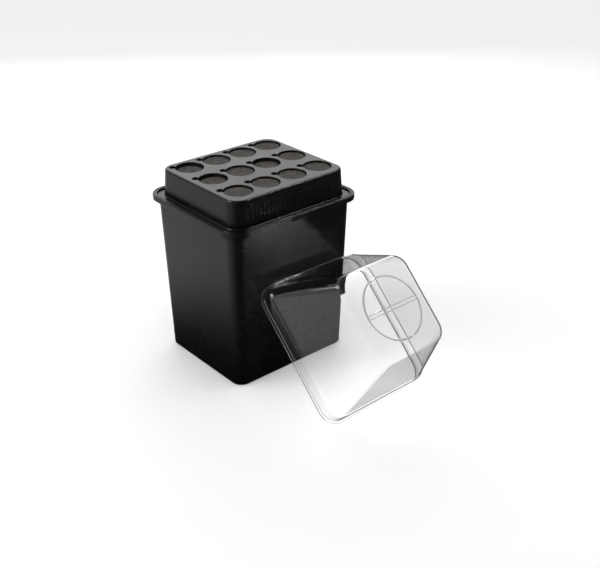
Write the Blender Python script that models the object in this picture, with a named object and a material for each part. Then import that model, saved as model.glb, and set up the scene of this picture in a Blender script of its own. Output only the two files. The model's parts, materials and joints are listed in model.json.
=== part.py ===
# Aeroponic cloning bucket with a 12-site lid and a clear humidity dome leaning on its front.
# Metres, +Z up. The origin is the centre of the bucket's underside; the front faces -Y.

import math

import bmesh
import bpy
from mathutils import Matrix, Vector

# Fits
TOUCH_GAP = 0.0003
SKIRT_CLEARANCE = 0.0006
LEDGE_CLEARANCE = 0.0006
INSERT_CLEARANCE = 0.0003
DOME_CLEARANCE = 0.0007
PIPE_CLEARANCE = 0.0003
ROTOR_CLEARANCE = 0.0006

# Bucket
BASE_X = 0.251
BASE_Y = 0.2155
MOUTH_X = 0.264
MOUTH_Y = 0.230
BODY_CORNER = 0.021
BUCKET_WALL = 0.003
BUCKET_FLOOR = 0.0035
BASE_CHAMFER = 0.002
RIM_X = 0.286
RIM_Y = 0.257
RIM_CORNER = 0.034
RIM_TOP = 0.306
LIP_HEIGHT = 0.010
LIP_WALL = 0.0025
RING_WIDTH = 0.008
LEDGE_DROP = 0.0055

# Lid
PLATFORM_X = 0.245
PLATFORM_Y = 0.215
PLATFORM_CORNER = 0.024
PLATFORM_DRAFT = 0.0035
PLATFORM_RISE = 0.046
PLATFORM_EDGE = 0.004
PLATE_THICKNESS = 0.003
TRAY_WALL = 0.0025
TRAY_SKIRT_DEPTH = 0.012
SITE_COLUMNS = 4
SITE_ROWS = 3
SITE_PITCH_X = 0.058
SITE_PITCH_Y = 0.0695
SITE_OFFSET_X = 0.0035
SITE_OFFSET_Y = 0.0026
SITE_DIAMETER = 0.050
SITE_MOUTH_CHAMFER = 0.001
SOCKET_DEPTH = 0.0265
SOCKET_WALL = 0.0025
SEAT_LEDGE = 0.005
NOTCH_RADIUS = 0.006
NOTCH_REACH = 0.030
NOTCH_ANGLE = math.radians(139)
NOTCH_DEPTH = 0.010
NOTCH_NECK = 0.0075

# Inserts
INSERT_THICKNESS = 0.020
INSERT_SINK = 0.003
DEEP_SINK = 0.006
DEEP_SITES = {(1, 1), (2, 1), (2, 3)}
SLIT_WIDTH = 0.0008

# Dome
DOME_WALL = 0.0012
DOME_SKIRT = 0.024
DOME_SHOULDER = 0.003
DOME_FLANGE = 0.0048
DOME_FLANGE_THICKNESS = 0.0025
DOME_HEIGHT = 0.159
DOME_TOP_SHORT = 0.150
DOME_TOP_LONG = 0.158
DOME_TOP_SHIFT = 0.0075
DOME_TOP_CORNER = 0.025
DOME_TOP_EDGE = 0.008
DOME_RING_RADIUS = 0.055
DOME_RING_WIDTH = 0.003
DOME_RING_HEIGHT = 0.001
DOME_SIDE_SHIFT = 0.026
DOME_FOOT_Y = -0.2995

# Pump
PUMP_LENGTH = 0.056
PUMP_WIDTH = 0.046
PUMP_HEIGHT = 0.045
PUMP_EDGE = 0.005
CUP_HEIGHT = 0.0095
CUP_RADIUS = 0.009
CUP_PLUG_RADIUS = 0.0035
CUP_PLUG_HEIGHT = 0.004
CUP_INSET = 0.011
ROTOR_DIAMETER = 0.021
ROTOR_LENGTH = 0.036
CHAMBER_DIAMETER = 0.034
CHAMBER_DEPTH = 0.015
FRONT_WALL = 0.007
IMPELLER_DIAMETER = 0.028
IMPELLER_DEPTH = 0.010
VANE_COUNT = 5
VANE_THICKNESS = 0.002
SHAFT_DIAMETER = 0.003
BUSH_DIAMETER = 0.008
BUSH_LENGTH = 0.004
INLET_RADIUS = 0.0035
INLET_COUNT = 4
INLET_CIRCLE = 0.0105
OUTLET_BORE = 0.010
SPIGOT_LENGTH = 0.014
STRAINER_DEPTH = 0.014
STRAINER_WALL = 0.002
STRAINER_SLOTS = 5
STRAINER_SLOT = 0.0022
GLAND_DIAMETER = 0.010
GLAND_LENGTH = 0.012
GLAND_BORE = 0.005

# Manifold
PIPE_OUTSIDE = 0.0213
PIPE_INSIDE = 0.0158
SOCKET_WALL_PIPE = 0.0028
PIPE_SOCKET = 0.014
CROSS_REACH = 0.028
HUB_MARGIN = 0.0008
MANIFOLD_HEIGHT = 0.235
ARM_END_X = 0.101
ARM_END_Y = 0.081
CAP_WALL = 0.003
NOZZLES_X = (0.042, 0.072)
NOZZLES_Y = (0.037, 0.055)
NOZZLE_STEM = 0.0056
NOZZLE_FLANGE = 0.010
NOZZLE_RISE = 0.008

# Facets
CORNER_STEPS = 5
SITE_FACETS = 16
PIPE_FACETS = 16
SMALL_FACETS = 12
RING_FACETS = 32

FLANGE_TOP = RIM_TOP - LEDGE_DROP + TRAY_WALL + TOUCH_GAP
PLATFORM_TOP = RIM_TOP + PLATFORM_RISE
PUMP_BOTTOM = BUCKET_FLOOR + TOUCH_GAP + CUP_HEIGHT + TOUCH_GAP
PUMP_TOP = PUMP_BOTTOM + PUMP_HEIGHT
PUMP_AXIS = PUMP_BOTTOM + PUMP_HEIGHT / 2
COVER_BACK = -CHAMBER_DEPTH / 2
COVER_FRONT = COVER_BACK + CHAMBER_DEPTH + FRONT_WALL
PUMP_FRONT = COVER_BACK - TOUCH_GAP
PUMP_BACK = PUMP_FRONT - PUMP_LENGTH
PIPE_SOCKET_OUTSIDE = PIPE_OUTSIDE + 2 * (PIPE_CLEARANCE + SOCKET_WALL_PIPE)


def clear_scene():
    for item in list(bpy.data.objects):
        bpy.data.objects.remove(item)


def material(name, colour, roughness, metallic=0.0, alpha=1.0):
    made = bpy.data.materials.new(name)
    made.use_nodes = True
    shader = made.node_tree.nodes["Principled BSDF"]
    shader.inputs["Base Color"].default_value = (*colour, 1.0)
    shader.inputs["Roughness"].default_value = roughness
    shader.inputs["Metallic"].default_value = metallic
    shader.inputs["Alpha"].default_value = alpha
    return made


def make_object(name, bm, finish=None, smooth=True):
    bmesh.ops.recalc_face_normals(bm, faces=bm.faces)
    mesh = bpy.data.meshes.new(name)
    bm.to_mesh(mesh)
    bm.free()
    if smooth:
        mesh.shade_smooth()
        mesh.set_sharp_from_angle(angle=math.radians(35))
    made = bpy.data.objects.new(name, mesh)
    bpy.context.collection.objects.link(made)
    if finish:
        mesh.materials.append(finish)
    return made


def rounded_outline(half_x, half_y, radius, z):
    """One level outline: four quarter turns joined by straight sides."""
    points = []
    for turn, (side_x, side_y) in enumerate([(1, 1), (-1, 1), (-1, -1), (1, -1)]):
        centre_x = side_x * (half_x - radius)
        centre_y = side_y * (half_y - radius)
        for step in range(CORNER_STEPS + 1):
            angle = math.pi / 2 * (turn + step / CORNER_STEPS)
            x = centre_x + radius * math.cos(angle)
            y = centre_y + radius * math.sin(angle)
            points.append(Vector((x, y, z)))
    return points


def skin(outlines, closed=False):
    """Quads between neighbouring outlines; the ends are filled, or joined to each other."""
    bm = bmesh.new()
    rings = [[bm.verts.new(point) for point in outline] for outline in outlines]
    pairs = list(zip(rings, rings[1:]))
    if closed:
        pairs.append((rings[-1], rings[0]))
    for lower, upper in pairs:
        for index in range(len(lower)):
            following = (index + 1) % len(lower)
            bm.faces.new((lower[index], lower[following], upper[following], upper[index]))
    if not closed:
        bm.faces.new(rings[0])
        bm.faces.new(rings[-1])
    return bm


def shell(sections):
    """A body from (half_x, half_y, corner, z) sections, in order along its profile."""
    return skin([rounded_outline(*section) for section in sections])


def turned(profile, facets, closed=False):
    """A profile of (radius, z) points turned about Z."""
    outlines = []
    for radius, z in profile:
        outline = []
        for index in range(facets):
            angle = 2 * math.pi * (index + 0.5) / facets
            outline.append(Vector((radius * math.cos(angle), radius * math.sin(angle), z)))
        outlines.append(outline)
    return skin(outlines, closed)


def tube(outside, inside, low, high, facets):
    profile = [(outside / 2, low), (outside / 2, high), (inside / 2, high), (inside / 2, low)]
    return turned(profile, facets, closed=True)


def rod(diameter, low, high, facets):
    return turned([(diameter / 2, low), (diameter / 2, high)], facets)


def block(low, high):
    bm = bmesh.new()
    bmesh.ops.create_cube(bm, size=1.0)
    size = Vector(high) - Vector(low)
    middle = (Vector(high) + Vector(low)) / 2
    bmesh.ops.scale(bm, vec=size, verts=bm.verts)
    bmesh.ops.translate(bm, vec=middle, verts=bm.verts)
    return bm


def merged(parts):
    """Several separate closed shapes in one bmesh, each moved by its matrix."""
    whole = bmesh.new()
    for part, matrix in parts:
        part.transform(matrix)
        carrier = bpy.data.meshes.new("carrier")
        part.to_mesh(carrier)
        part.free()
        whole.from_mesh(carrier)
        bpy.data.meshes.remove(carrier)
    return whole


def modify(target, operation, name, bm):
    """Union or cut the target with a guide solid in the target's own frame."""
    guide = make_object(name, bm, smooth=False)
    guide.parent = target
    guide.hide_render = True
    guide.display_type = "WIRE"
    step = target.modifiers.new(name, "BOOLEAN")
    step.operation = operation
    step.solver = "EXACT"
    step.object = guide


def move(x=0.0, y=0.0, z=0.0):
    return Matrix.Translation((x, y, z))


def along_x(sign=1):
    return Matrix.Rotation(sign * math.pi / 2, 4, "Y")


def along_y(sign=1):
    return Matrix.Rotation(-sign * math.pi / 2, 4, "X")


def body_half(z):
    """Half width and half depth of the bucket's outer wall at a height."""
    share = z / (RIM_TOP - LIP_HEIGHT)
    half_x = (BASE_X + (MOUTH_X - BASE_X) * share) / 2
    half_y = (BASE_Y + (MOUTH_Y - BASE_Y) * share) / 2
    return half_x, half_y


def site_position(row, column):
    """Rows count from the back, columns from -X, both from 1."""
    x = SITE_OFFSET_X + (column - (SITE_COLUMNS + 1) / 2) * SITE_PITCH_X
    y = SITE_OFFSET_Y - (row - (SITE_ROWS + 1) / 2) * SITE_PITCH_Y
    return x, y


def all_sites():
    return [(row, column) for row in range(1, SITE_ROWS + 1) for column in range(1, SITE_COLUMNS + 1)]


def make_reservoir(finish):
    ledge = RIM_TOP - LEDGE_DROP
    web = ledge - BUCKET_WALL
    ring_under = RIM_TOP - LIP_WALL
    lip_bottom = RIM_TOP - LIP_HEIGHT
    foot_x, foot_y = body_half(0)
    neck_x, neck_y = body_half(web)
    step = RING_WIDTH - BUCKET_WALL

    def rim(inset, z):
        return RIM_X / 2 - inset, RIM_Y / 2 - inset, RIM_CORNER - inset, z

    def body(z, inset=0.0):
        half_x, half_y = body_half(z)
        return half_x - inset, half_y - inset, BODY_CORNER - inset, z

    sections = [
        body(BUCKET_FLOOR, BUCKET_WALL),
        (neck_x - BUCKET_WALL, neck_y - BUCKET_WALL, BODY_CORNER - BUCKET_WALL, ledge),
        rim(RING_WIDTH, ledge),
        rim(RING_WIDTH, RIM_TOP),
        rim(BASE_CHAMFER / 2, RIM_TOP),
        rim(0, RIM_TOP - BASE_CHAMFER / 2),
        rim(0, lip_bottom),
        rim(LIP_WALL, lip_bottom),
        rim(LIP_WALL, ring_under),
        rim(step, ring_under),
        rim(step, web),
        (neck_x, neck_y, BODY_CORNER, web),
        body(BASE_CHAMFER),
        (foot_x - BASE_CHAMFER, foot_y - BASE_CHAMFER, BODY_CORNER - BASE_CHAMFER, 0.0),
    ]
    return make_object("reservoir", shell(sections), finish)


def tray_guides():
    """Sockets to add under the lid's top, and the bores and notches to cut from it."""
    outside = SITE_DIAMETER / 2 + SOCKET_WALL
    bore = SITE_DIAMETER / 2
    hole = bore - SEAT_LEDGE
    buried = PLATFORM_TOP - PLATE_THICKNESS / 2
    seat = PLATFORM_TOP - SOCKET_DEPTH
    under = seat - SOCKET_WALL
    above = PLATFORM_TOP + PLATE_THICKNESS
    pocket = PLATFORM_TOP - NOTCH_DEPTH
    notch_wall = NOTCH_RADIUS + SOCKET_WALL
    sockets, notches, bores, pockets, necks = [], [], [], [], []
    for row, column in all_sites():
        x, y = site_position(row, column)
        notch_x = x + NOTCH_REACH * math.cos(NOTCH_ANGLE)
        notch_y = y + NOTCH_REACH * math.sin(NOTCH_ANGLE)
        turn = Matrix.Rotation(NOTCH_ANGLE, 4, "Z")
        sockets.append((rod(2 * outside, under, buried, SITE_FACETS), move(x, y)))
        boss = rod(2 * notch_wall, pocket - SOCKET_WALL, buried, SMALL_FACETS)
        notches.append((boss, move(notch_x, notch_y)))
        chamfer = bore + SITE_MOUTH_CHAMFER
        profile = [
            (hole, under - SOCKET_WALL),
            (hole, seat),
            (bore, seat),
            (bore, PLATFORM_TOP - SITE_MOUTH_CHAMFER),
            (chamfer, PLATFORM_TOP),
            (chamfer, above),
        ]
        bores.append((turned(profile, SITE_FACETS), move(x, y)))
        pockets.append((rod(2 * NOTCH_RADIUS, pocket, above, SMALL_FACETS), move(notch_x, notch_y)))
        neck = block(
            (bore - NOTCH_RADIUS / 2, -NOTCH_NECK / 2, pocket),
            (NOTCH_REACH, NOTCH_NECK / 2, above),
        )
        necks.append((neck, move(x, y) @ turn))
    return {
        "socket_guide": ("UNION", sockets),
        "notch_guide": ("UNION", notches),
        "bore_cutter": ("DIFFERENCE", bores),
        "pocket_cutter": ("DIFFERENCE", pockets),
        "neck_cutter": ("DIFFERENCE", necks),
    }


def make_site_tray(finish):
    ledge = RIM_TOP - LEDGE_DROP + TOUCH_GAP
    skirt_low = ledge - TRAY_SKIRT_DEPTH
    body_x, body_y = body_half(skirt_low)
    inset = BUCKET_WALL + SKIRT_CLEARANCE
    skirt_x, skirt_y = body_x - inset, body_y - inset
    skirt_corner = BODY_CORNER - inset
    top_x, top_y = PLATFORM_X / 2, PLATFORM_Y / 2
    wall_x, wall_y = top_x + PLATFORM_DRAFT, top_y + PLATFORM_DRAFT
    flange_inset = RING_WIDTH + LEDGE_CLEARANCE
    flange_x, flange_y = RIM_X / 2 - flange_inset, RIM_Y / 2 - flange_inset
    flange_corner = RIM_CORNER - flange_inset
    under = PLATFORM_TOP - PLATE_THICKNESS
    edge_centre = PLATFORM_TOP - PLATFORM_EDGE

    def edge(angle):
        inward = PLATFORM_EDGE * (1 - math.cos(angle))
        z = edge_centre + PLATFORM_EDGE * math.sin(angle)
        return top_x - inward, top_y - inward, PLATFORM_CORNER - inward, z

    sections = [edge(math.radians(90)), edge(math.radians(45)), edge(0.0)]
    sections += [
        (wall_x, wall_y, PLATFORM_CORNER + PLATFORM_DRAFT, FLANGE_TOP),
        (flange_x, flange_y, flange_corner, FLANGE_TOP),
        (flange_x, flange_y, flange_corner, ledge),
        (skirt_x, skirt_y, skirt_corner, ledge),
        (skirt_x, skirt_y, skirt_corner, skirt_low),
        (skirt_x - TRAY_WALL, skirt_y - TRAY_WALL, skirt_corner - TRAY_WALL, skirt_low),
        (skirt_x - TRAY_WALL, skirt_y - TRAY_WALL, skirt_corner - TRAY_WALL, ledge - TRAY_WALL),
        (wall_x - TRAY_WALL, wall_y - TRAY_WALL, PLATFORM_CORNER, FLANGE_TOP),
        (top_x - TRAY_WALL, top_y - TRAY_WALL, PLATFORM_CORNER - TRAY_WALL, under),
    ]
    tray = make_object("site_tray", shell(sections), finish)
    for name, (operation, parts) in tray_guides().items():
        modify(tray, operation, name, merged(parts))
    return tray


def make_inserts(finish, tray):
    """Foam collars, slit from the centre to the edge, pressed into the sites."""
    radius = SITE_DIAMETER / 2 - INSERT_CLEARANCE
    half_slit = SLIT_WIDTH / 2
    step = 2 * math.pi / SITE_FACETS
    outline = [Vector((-half_slit, half_slit, 0))]
    flat = radius * math.cos(step / 2)
    outline.append(Vector((flat, half_slit, 0)))
    for index in range(SITE_FACETS):
        angle = step * (index + 0.5)
        outline.append(Vector((radius * math.cos(angle), radius * math.sin(angle), 0)))
    outline.append(Vector((flat, -half_slit, 0)))
    outline.append(Vector((-half_slit, -half_slit, 0)))
    for row, column in all_sites():
        x, y = site_position(row, column)
        sink = DEEP_SINK if (row, column) in DEEP_SITES else INSERT_SINK
        top = [point + Vector((0, 0, INSERT_THICKNESS)) for point in outline]
        insert = make_object(f"insert_r{row}c{column}", skin([outline, top]), finish)
        insert.location = (x, y, PLATFORM_TOP - sink - INSERT_THICKNESS)
        insert.parent = tray


def dome_sections(inset):
    """The dome's wall from its top to its skirt, in its own frame: mouth down, X short, Y long."""
    top_short, top_long = DOME_TOP_SHORT / 2 - inset, DOME_TOP_LONG / 2 - inset
    lap = PLATFORM_DRAFT * DOME_SKIRT / PLATFORM_RISE
    skirt_gap = lap + DOME_CLEARANCE + DOME_WALL - inset
    skirt_short, skirt_long = PLATFORM_Y / 2 + skirt_gap, PLATFORM_X / 2 + skirt_gap
    skirt_corner = PLATFORM_CORNER + skirt_gap
    wall_short, wall_long = skirt_short - DOME_SHOULDER, skirt_long - DOME_SHOULDER
    wall_corner = skirt_corner - DOME_SHOULDER
    roof = DOME_HEIGHT - inset
    shoulder = DOME_SKIRT + DOME_SHOULDER - inset
    slope = math.atan2(wall_short - top_short, roof - shoulder)
    edge = DOME_TOP_EDGE - inset
    tangent = edge / math.tan((math.pi / 2 + slope) / 2)
    corner = DOME_TOP_CORNER - inset
    sections = []
    for share in (1.0, 0.5, 0.0):
        angle = slope + (math.pi / 2 - slope) * share
        inward = tangent - edge * math.cos(angle)
        z = roof - edge + edge * math.sin(angle)
        sections.append((top_short - inward, top_long - inward, corner - inward, z))
    sections.append((wall_short, wall_long, wall_corner, shoulder))
    sections.append((skirt_short, skirt_long, skirt_corner, DOME_SKIRT - inset))
    return sections


def dome_rim():
    """Half sizes and corner radius of the dome's flange."""
    half_short, half_long, corner, _ = dome_sections(0.0)[-1]
    return half_short + DOME_FLANGE, half_long + DOME_FLANGE, corner + DOME_FLANGE


def dome_lean():
    """The angle at which the dome's upper edge meets the bucket's drafted front."""
    length = 2 * dome_rim()[1]
    draft = (MOUTH_Y - BASE_Y) / 2 / (RIM_TOP - LIP_HEIGHT)
    reach = -DOME_FOOT_Y - BASE_Y / 2 - TOUCH_GAP
    return math.atan(draft) + math.acos(reach / (length * math.hypot(1, draft)))


def slope_end_walls(bm):
    """Moves the roof towards the dome's foot, so that its upper end wall slopes more than its lower one."""
    shoulder = DOME_SKIRT + DOME_SHOULDER
    for vertex in bm.verts:
        share = max(0.0, (vertex.co.z - shoulder) / (DOME_HEIGHT - shoulder))
        vertex.co.y -= DOME_TOP_SHIFT * share


def make_dome(finish):
    outer = dome_sections(0.0)
    inner = dome_sections(DOME_WALL)
    half_short, half_long, corner = dome_rim()
    skirt = outer[-1][:3]
    flange = [
        (*skirt, DOME_FLANGE_THICKNESS),
        (half_short, half_long, corner, DOME_FLANGE_THICKNESS),
        (half_short, half_long, corner, 0.0),
        (*inner[-1][:3], 0.0),
    ]
    bm = shell(outer + flange + inner[::-1])
    slope_end_walls(bm)
    bmesh.ops.translate(bm, vec=(0, half_long, 0), verts=bm.verts)
    dome = make_object("humidity_dome", bm, finish)
    ring = tube(
        2 * DOME_RING_RADIUS + DOME_RING_WIDTH,
        2 * DOME_RING_RADIUS - DOME_RING_WIDTH,
        DOME_HEIGHT - DOME_WALL / 2,
        DOME_HEIGHT + DOME_RING_HEIGHT,
        RING_FACETS,
    )
    bmesh.ops.translate(ring, vec=(0, half_long - DOME_TOP_SHIFT, 0), verts=ring.verts)
    modify(dome, "UNION", "ring_guide", ring)
    dome.location = (DOME_SIDE_SHIFT, DOME_FOOT_Y, 0)
    dome.rotation_euler = (dome_lean(), 0, 0)
    return dome


def pump_box(back, front, low, high):
    """A box with rounded upright edges and chamfered top and bottom edges."""
    half_x, half_y = (front - back) / 2, PUMP_WIDTH / 2
    bevel = PUMP_EDGE / 2
    sections = [
        (half_x - bevel, half_y - bevel, PUMP_EDGE - bevel, low),
        (half_x, half_y, PUMP_EDGE, low + bevel),
        (half_x, half_y, PUMP_EDGE, high - bevel),
        (half_x - bevel, half_y - bevel, PUMP_EDGE - bevel, high),
    ]
    bm = shell(sections)
    bmesh.ops.translate(bm, vec=((back + front) / 2, 0, 0), verts=bm.verts)
    return bm


def cup_positions():
    """Suction cups under the pump body, inset from its corners."""
    xs = (PUMP_BACK + CUP_INSET, PUMP_FRONT - CUP_INSET)
    ys = (PUMP_WIDTH / 2 - CUP_INSET, CUP_INSET - PUMP_WIDTH / 2)
    return [(x, y) for x in xs for y in ys]


def on_pump_axis(bm, x=0.0):
    """A shape turned about Z, laid along +X on the pump's axis."""
    return bm, move(x, 0, PUMP_AXIS) @ along_x()


def rotor_front():
    return PUMP_FRONT - ROTOR_CLEARANCE


def make_pump_body(finish):
    body = make_object("pump_body", pump_box(PUMP_BACK, PUMP_FRONT, PUMP_BOTTOM, PUMP_TOP), finish)
    bore_depth = ROTOR_LENGTH + 2 * ROTOR_CLEARANCE
    bore = [
        (BUSH_DIAMETER / 2 + TOUCH_GAP, -bore_depth - BUSH_LENGTH - TOUCH_GAP),
        (BUSH_DIAMETER / 2 + TOUCH_GAP, -bore_depth),
        (ROTOR_DIAMETER / 2 + ROTOR_CLEARANCE, -bore_depth),
        (ROTOR_DIAMETER / 2 + ROTOR_CLEARANCE, PUMP_EDGE),
    ]
    cutters = [on_pump_axis(turned(bore, PIPE_FACETS), PUMP_FRONT)]
    for x, y in cup_positions():
        hole = rod(2 * (CUP_PLUG_RADIUS + TOUCH_GAP), -CUP_HEIGHT, CUP_PLUG_HEIGHT + TOUCH_GAP, SMALL_FACETS)
        cutters.append((hole, move(x, y, PUMP_BOTTOM)))
    modify(body, "DIFFERENCE", "pump_cutter", merged(cutters))


def make_volute_cover(finish):
    """Carries the impeller chamber, the inlet holes, the front bush and the outlet spigot."""
    cover = make_object("volute_cover", pump_box(COVER_BACK, COVER_FRONT, PUMP_BOTTOM, PUMP_TOP), finish)
    spigot = rod(PIPE_INSIDE - 2 * PIPE_CLEARANCE, PUMP_TOP - PUMP_EDGE, PUMP_TOP + SPIGOT_LENGTH, PIPE_FACETS)
    modify(cover, "UNION", "spigot_guide", spigot)
    chamber_front = COVER_BACK + CHAMBER_DEPTH
    chamber = rod(CHAMBER_DIAMETER, -CHAMBER_DEPTH, CHAMBER_DEPTH, PIPE_FACETS)
    seat = rod(BUSH_DIAMETER + 2 * TOUCH_GAP, -PUMP_EDGE, BUSH_LENGTH + TOUCH_GAP, PIPE_FACETS)
    outlet = rod(OUTLET_BORE, PUMP_AXIS, PUMP_TOP + 2 * SPIGOT_LENGTH, PIPE_FACETS)
    cutters = [on_pump_axis(chamber, COVER_BACK), on_pump_axis(seat, chamber_front)]
    for index in range(INLET_COUNT):
        angle = 2 * math.pi * (index + 0.5) / INLET_COUNT
        inlet = rod(2 * INLET_RADIUS, -PUMP_EDGE, 2 * FRONT_WALL, SMALL_FACETS)
        offset = move(0, INLET_CIRCLE * math.cos(angle), INLET_CIRCLE * math.sin(angle))
        shape, place = on_pump_axis(inlet, chamber_front)
        cutters.append((shape, offset @ place))
    modify(cover, "DIFFERENCE", "chamber_cutter", merged(cutters[:1]))
    modify(cover, "DIFFERENCE", "inlet_cutter", merged(cutters[1:]))
    modify(cover, "DIFFERENCE", "outlet_cutter", outlet)


def make_strainer(finish):
    """A slotted cage that snaps over the inlet."""
    back = COVER_FRONT + TOUCH_GAP
    strainer = make_object(
        "intake_strainer", pump_box(back, back + STRAINER_DEPTH, PUMP_BOTTOM, PUMP_TOP), finish
    )
    half_y = PUMP_WIDTH / 2 - STRAINER_WALL - PUMP_EDGE / 2
    margin = STRAINER_WALL + PUMP_EDGE / 2
    hollow = block(
        (back - STRAINER_WALL, -half_y, PUMP_BOTTOM + margin),
        (back + STRAINER_DEPTH - STRAINER_WALL, half_y, PUMP_TOP - margin),
    )
    modify(strainer, "DIFFERENCE", "strainer_hollow", hollow)
    slots = []
    pitch = 2 * half_y / STRAINER_SLOTS
    for index in range(STRAINER_SLOTS):
        y = (index - (STRAINER_SLOTS - 1) / 2) * pitch
        slot = block(
            (back + STRAINER_DEPTH / 2, y - STRAINER_SLOT / 2, PUMP_BOTTOM + 2 * margin),
            (back + 2 * STRAINER_DEPTH, y + STRAINER_SLOT / 2, PUMP_TOP - 2 * margin),
        )
        slots.append((slot, move()))
    modify(strainer, "DIFFERENCE", "slot_cutter", merged(slots))


def make_rotor(magnet_finish, impeller_finish, shaft_finish, bush_finish):
    """The shaft stands in two bushes; the magnet and the vaned impeller turn on it as one."""
    front = rotor_front()
    axle = SHAFT_DIAMETER + 2 * TOUCH_GAP
    magnet = make_object(
        "rotor_magnet", tube(ROTOR_DIAMETER, axle, -ROTOR_LENGTH, 0, PIPE_FACETS), magnet_finish
    )
    hub_back = TOUCH_GAP
    hub_front = hub_back + ROTOR_CLEARANCE + IMPELLER_DEPTH
    disc_top = hub_back + 2 * ROTOR_CLEARANCE + VANE_THICKNESS
    impeller_profile = [
        (axle / 2, hub_back),
        (BUSH_DIAMETER / 2, hub_back),
        (BUSH_DIAMETER / 2, hub_back + 2 * ROTOR_CLEARANCE),
        (IMPELLER_DIAMETER / 2, hub_back + 2 * ROTOR_CLEARANCE),
        (IMPELLER_DIAMETER / 2, disc_top),
        (BUSH_DIAMETER / 2, disc_top),
        (BUSH_DIAMETER / 2, hub_front),
        (axle / 2, hub_front),
    ]
    impeller = make_object("impeller", turned(impeller_profile, PIPE_FACETS, closed=True), impeller_finish)
    vanes = []
    for index in range(VANE_COUNT):
        vane = block(
            (axle / 2 + VANE_THICKNESS / 2, -VANE_THICKNESS / 2, disc_top - VANE_THICKNESS / 2),
            (IMPELLER_DIAMETER / 2 - VANE_THICKNESS / 2, VANE_THICKNESS / 2, hub_front - ROTOR_CLEARANCE),
        )
        vanes.append((vane, Matrix.Rotation(2 * math.pi * index / VANE_COUNT, 4, "Z")))
    modify(impeller, "UNION", "vane_guide", merged(vanes))
    rear = -ROTOR_LENGTH - ROTOR_CLEARANCE - BUSH_LENGTH
    nose = COVER_BACK + CHAMBER_DEPTH - front
    shaft = make_object(
        "impeller_shaft", rod(SHAFT_DIAMETER, rear, nose + BUSH_LENGTH, SMALL_FACETS), shaft_finish
    )
    rear_bush = make_object(
        "rear_bush", tube(BUSH_DIAMETER, axle, rear, rear + BUSH_LENGTH, PIPE_FACETS), bush_finish
    )
    front_bush = make_object(
        "front_bush", tube(BUSH_DIAMETER, axle, nose, nose + BUSH_LENGTH, PIPE_FACETS), bush_finish
    )
    for item in (magnet, impeller, shaft, rear_bush, front_bush):
        item.matrix_world = move(front, 0, PUMP_AXIS) @ along_x()


def make_suction_cups(finish):
    low = 0.0
    neck = CUP_HEIGHT - 2 * TOUCH_GAP
    profile = [
        (CUP_RADIUS * 0.55, CUP_HEIGHT * 0.3),
        (CUP_RADIUS * 0.9, low),
        (CUP_RADIUS, low),
        (CUP_RADIUS, CUP_HEIGHT * 0.1),
        (CUP_RADIUS * 0.5, CUP_HEIGHT * 0.55),
        (CUP_RADIUS * 0.5, neck),
        (CUP_PLUG_RADIUS, neck),
        (CUP_PLUG_RADIUS, CUP_HEIGHT + CUP_PLUG_HEIGHT),
    ]
    for number, (x, y) in enumerate(cup_positions(), start=1):
        cup = make_object(f"suction_cup_{number}", turned(profile, SMALL_FACETS), finish)
        cup.location = (x, y, BUCKET_FLOOR + TOUCH_GAP)


def make_gland(finish):
    """The cable's entry on the back of the pump."""
    radius, bore = GLAND_DIAMETER / 2, GLAND_BORE / 2
    profile = [
        (radius, 0.0),
        (radius, GLAND_LENGTH / 3),
        (radius * 0.75, GLAND_LENGTH),
        (bore, GLAND_LENGTH),
        (bore, 0.0),
    ]
    gland = make_object("pump_cable_gland", turned(profile, SMALL_FACETS, closed=True), finish)
    height = PUMP_AXIS + PUMP_HEIGHT / 4
    gland.matrix_world = move(PUMP_BACK - TOUCH_GAP, 0, height) @ along_x(-1)


def cross_bottom():
    return MANIFOLD_HEIGHT - CROSS_REACH


def arm_directions():
    """Name, placing matrix, pipe end and nozzle places for each manifold arm."""
    centre = move(0, 0, MANIFOLD_HEIGHT)
    return [
        ("x_plus", centre @ along_x(), ARM_END_X, NOZZLES_X),
        ("x_minus", centre @ along_x(-1), ARM_END_X, NOZZLES_X),
        ("y_plus", centre @ along_y(), ARM_END_Y, NOZZLES_Y),
        ("y_minus", centre @ along_y(-1), ARM_END_Y, NOZZLES_Y),
    ]


def make_cross(finish):
    """A five-way pipe fitting on a square hub: four level sockets and one facing down."""
    outside = PIPE_SOCKET_OUTSIDE
    socket = PIPE_OUTSIDE + 2 * PIPE_CLEARANCE
    stop = CROSS_REACH - PIPE_SOCKET
    hub = outside / 2 + HUB_MARGIN
    cavity = PIPE_INSIDE / 2 + HUB_MARGIN
    cross = make_object("manifold_cross", block((-hub, -hub, -hub), (hub, hub, hub)), finish)
    cross.location = (0, 0, MANIFOLD_HEIGHT)
    ways = [along_x(), along_x(-1), along_y(), along_y(-1), Matrix.Rotation(math.pi, 4, "X")]
    collar_start = hub - HUB_MARGIN / 2
    bore_profile = [
        (PIPE_INSIDE / 2, cavity - HUB_MARGIN / 2),
        (PIPE_INSIDE / 2, stop),
        (socket / 2, stop),
        (socket / 2, 2 * CROSS_REACH),
    ]
    collars = [(rod(outside, collar_start, CROSS_REACH, PIPE_FACETS), way) for way in ways]
    bores = [(turned(bore_profile, PIPE_FACETS), way) for way in ways]
    modify(cross, "UNION", "collar_guide", merged(collars))
    modify(cross, "DIFFERENCE", "hub_cavity", block((-cavity, -cavity, -cavity), (cavity, cavity, cavity)))
    modify(cross, "DIFFERENCE", "way_cutter", merged(bores))


def make_riser(finish):
    low = PUMP_TOP + TOUCH_GAP
    high = cross_bottom() + PIPE_SOCKET - TOUCH_GAP
    make_object("riser_pipe", tube(PIPE_OUTSIDE, PIPE_INSIDE, low, high, PIPE_FACETS), finish)


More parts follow.
